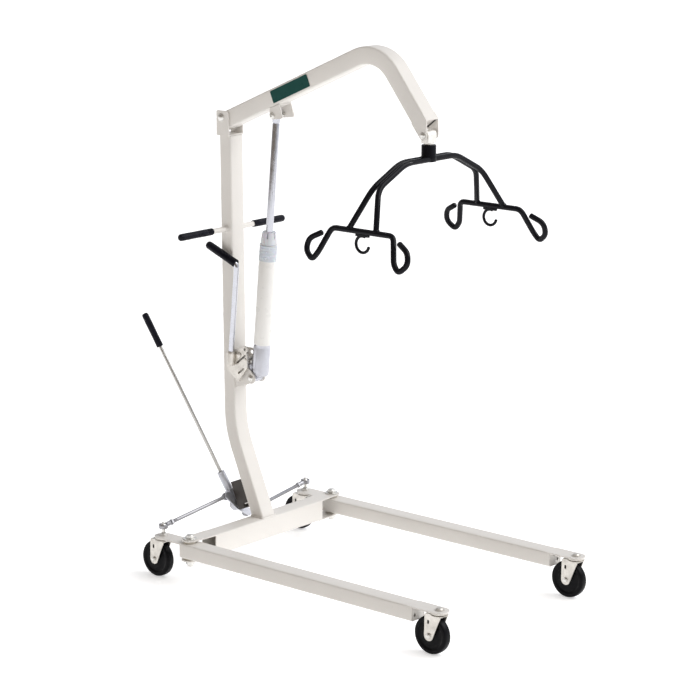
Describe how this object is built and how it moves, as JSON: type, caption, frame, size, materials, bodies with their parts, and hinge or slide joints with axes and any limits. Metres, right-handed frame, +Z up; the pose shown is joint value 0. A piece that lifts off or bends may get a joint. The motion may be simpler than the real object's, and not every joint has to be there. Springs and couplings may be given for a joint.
{
  "type": "patient lift hoist",
  "caption": "Mobile floor hoist for lifting a person in a sling: castered base with spreading legs, bent mast, hand-pumped jack, cranked boom and swivelling spreader bar.",
  "frame": {"origin": "centre of the footprint on the floor under the four casters and the base lever's grip, at rest", "axes": "+Z up; the legs point along -Y, which is the front; +X is to the right for a viewer in front facing the mast"},
  "size_m": [0.638, 1.2338, 1.4703],
  "materials": {
    "powder": "satin powder coat",
    "chrome": "polished",
    "zinc": "zinc plated",
    "cast": "as cast",
    "dark_steel": "dark paint",
    "black_gloss": "gloss powder coat",
    "grip": "soft vinyl",
    "wheel": "moulded",
    "white_tube": "smooth paint",
    "collar": "moulded",
    "label": "plain label",
    "nylon": "moulded"
  },
  "bodies": {
    "base": {"crossmember": "powder", "mast": "powder", "mast_head_bracket": "powder", "pump_mount_bracket": "powder", "boom_pivot_bolt": "zinc", "pump_pivot_bolt": "zinc", "push_handle_bar": "powder", "push_grip_left": "grip", "push_grip_right": "grip", "shift_mount": "dark_steel", "shift_pivot_bolt": "zinc", "leg_pivot_bolt_left": "zinc", "leg_pivot_bolt_right": "zinc"},
    "leg_left": {"leg_left": "powder", "leg_sleeve_left": "nylon", "ball_stud_left": "zinc", "caster_race_front_left": "zinc", "caster_race_rear_left": "zinc"},
    "tie_rod_left": {"tie_rod_left": "chrome"},
    "leg_right": {"leg_right": "powder", "leg_sleeve_right": "nylon", "ball_stud_right": "zinc", "caster_race_front_right": "zinc", "caster_race_rear_right": "zinc"},
    "tie_rod_right": {"tie_rod_right": "chrome"},
    "fork_front_left": {"caster_fork_front_left": "zinc", "caster_axle_front_left": "zinc"},
    "wheel_front_left": {"caster_wheel_front_left": "wheel"},
    "fork_front_right": {"caster_fork_front_right": "zinc", "caster_axle_front_right": "zinc"},
    "wheel_front_right": {"caster_wheel_front_right": "wheel"},
    "fork_rear_left": {"caster_fork_rear_left": "zinc", "caster_axle_rear_left": "zinc"},
    "wheel_rear_left": {"caster_wheel_rear_left": "wheel"},
    "fork_rear_right": {"caster_fork_rear_right": "zinc", "caster_axle_rear_right": "zinc"},
    "wheel_rear_right": {"caster_wheel_rear_right": "wheel"},
    "shifter": {"shift_yoke": "cast", "shift_rod": "chrome", "shift_grip": "grip"},
    "boom": {"boom": "powder", "rod_bracket": "powder", "rod_screw_left": "zinc", "rod_screw_right": "zinc", "hanger_pin": "zinc", "boom_label": "label"},
    "hanger": {"hanger": "zinc"},
    "spreader": {"spreader_arch": "black_gloss", "spreader_bar_left": "black_gloss", "spreader_bar_right": "black_gloss", "strap_hook_left": "black_gloss", "strap_hook_right": "black_gloss"},
    "pump_barrel": {"pump_tube": "white_tube", "pump_base": "cast", "pump_collar": "collar"},
    "pump_rod": {"pump_rod": "chrome"},
    "pump_lever": {"pump_lever": "zinc", "pump_handle_bar": "chrome", "pump_handle_grip": "grip"},
    "plunger": {"pump_plunger": "zinc"}
  },
  "joints": [
    {"name": "boom_lift", "type": "hinge", "parent": "base", "child": "boom", "pos_m": [0, 0.39346, 1.243], "axis": [-1, 0, 0], "range_deg": [-40, 15]},
    {"name": "pump_rocks", "type": "hinge", "parent": "base", "child": "pump_barrel", "pos_m": [0, 0.29986, 0.525], "axis": [-1, 0, 0], "range_deg": [-0.3, 0.75]},
    {"name": "rod_slide", "type": "slide", "parent": "pump_barrel", "child": "pump_rod", "axis": [0, -0.0906, 0.9959], "range_m": [-0.128, 0.0485]},
    {"name": "hanger_swing", "type": "hinge", "parent": "boom", "child": "hanger", "pos_m": [0, -0.30814, 1.256], "axis": [1, 0, 0], "range_deg": [-60, 60]},
    {"name": "spreader_spin", "type": "hinge", "parent": "hanger", "child": "spreader", "pos_m": [0, -0.30814, 1.209], "axis": [0, 0, 1], "continuous": true},
    {"name": "pump_lever_pull", "type": "hinge", "parent": "base", "child": "pump_lever", "pos_m": [0, 0.33186, 0.588], "axis": [-1, 0, 0], "range_deg": [-8, 40]},
    {"name": "plunger_stroke", "type": "slide", "parent": "pump_barrel", "child": "plunger", "axis": [0, -0.0906, 0.9959], "range_m": [-0.004, 0.018]},
    {"name": "base_shift", "type": "hinge", "parent": "base", "child": "shifter", "pos_m": [0, 0.37942, 0.14137], "axis": [0, 0.9212, -0.3891], "range_deg": [0, 34]},
    {"name": "leg_spread_left", "type": "hinge", "parent": "base", "child": "leg_left", "pos_m": [-0.293, 0.27786, 0.1], "axis": [0, 0, 1], "range_deg": [-14, 0]},
    {"name": "tie_rod_turn_left", "type": "hinge", "parent": "leg_left", "child": "tie_rod_left", "pos_m": [-0.293, 0.37886, 0.1458], "axis": [-0.0765, -0.1652, 0.9833], "range_deg": [0, 16]},
    {"name": "leg_spread_right", "type": "hinge", "parent": "base", "child": "leg_right", "pos_m": [0.293, 0.27786, 0.1], "axis": [0, 0, 1], "range_deg": [0, 14]},
    {"name": "tie_rod_turn_right", "type": "hinge", "parent": "leg_right", "child": "tie_rod_right", "pos_m": [0.293, 0.37886, 0.1458], "axis": [0.1281, -0.1811, -0.9751], "range_deg": [0, 16]},
    {"name": "swivel_front_left", "type": "hinge", "parent": "leg_left", "child": "fork_front_left", "pos_m": [-0.293, -0.58814, 0.107], "axis": [0, 0, 1], "continuous": true},
    {"name": "wheel_spin_front_left", "type": "hinge", "parent": "fork_front_left", "child": "wheel_front_left", "pos_m": [-0.293, -0.56614, 0.0508], "axis": [1, 0, 0], "continuous": true},
    {"name": "swivel_front_right", "type": "hinge", "parent": "leg_right", "child": "fork_front_right", "pos_m": [0.293, -0.58814, 0.107], "axis": [0, 0, 1], "continuous": true},
    {"name": "wheel_spin_front_right", "type": "hinge", "parent": "fork_front_right", "child": "wheel_front_right", "pos_m": [0.293, -0.56614, 0.0508], "axis": [1, 0, 0], "continuous": true},
    {"name": "swivel_rear_left", "type": "hinge", "parent": "leg_left", "child": "fork_rear_left", "pos_m": [-0.293, 0.37886, 0.107], "axis": [0, 0, 1], "continuous": true},
    {"name": "wheel_spin_rear_left", "type": "hinge", "parent": "fork_rear_left", "child": "wheel_rear_left", "pos_m": [-0.293, 0.40086, 0.0508], "axis": [1, 0, 0], "continuous": true},
    {"name": "swivel_rear_right", "type": "hinge", "parent": "leg_right", "child": "fork_rear_right", "pos_m": [0.293, 0.37886, 0.107], "axis": [0, 0, 1], "continuous": true},
    {"name": "wheel_spin_rear_right", "type": "hinge", "parent": "fork_rear_right", "child": "wheel_rear_right", "pos_m": [0.293, 0.40086, 0.0508], "axis": [1, 0, 0], "continuous": true}
  ],
  "couplings": [
    {"joint": "pump_rocks", "follows": "boom_lift", "ratio": -0.0154},
    {"joint": "rod_slide", "follows": "boom_lift", "m_per_rad": 0.1801},
    {"joint": "plunger_stroke", "follows": "pump_lever_pull", "m_per_rad": 0.0246},
    {"joint": "leg_spread_left", "follows": "base_shift", "ratio": -0.3947},
    {"joint": "tie_rod_turn_left", "follows": "base_shift", "ratio": 0.443},
    {"joint": "leg_spread_right", "follows": "base_shift", "ratio": 0.3945},
    {"joint": "tie_rod_turn_right", "follows": "base_shift", "ratio": 0.3856}
  ]
}
